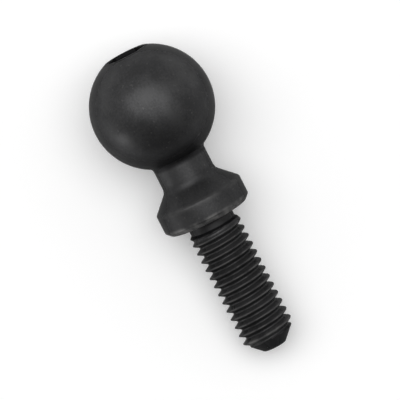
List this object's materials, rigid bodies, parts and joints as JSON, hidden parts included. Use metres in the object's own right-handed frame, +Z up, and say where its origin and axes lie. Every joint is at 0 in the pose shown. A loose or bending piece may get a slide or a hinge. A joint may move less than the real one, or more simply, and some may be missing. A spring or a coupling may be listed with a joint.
{
  "type": "threaded ball stud",
  "caption": "One-piece ball stud: a ball with a hex socket in its pole, a slim neck, a coned collar and a threaded shank, for a ball-and-cup link joint.",
  "frame": {"origin": "on the surface that the stud lies on, under the middle of its length and width", "axes": "+Z up; +X level, from the ball towards the thread's tip, which slopes down by 7.98 degrees; +Y across"},
  "size_m": [0.0178, 0.0068, 0.0068],
  "materials": {
    "black_oxide_steel": "satin black oxide on turned steel"
  },
  "bodies": {
    "root": {"ball_stud": "black_oxide_steel"}
  },
  "joints": []
}
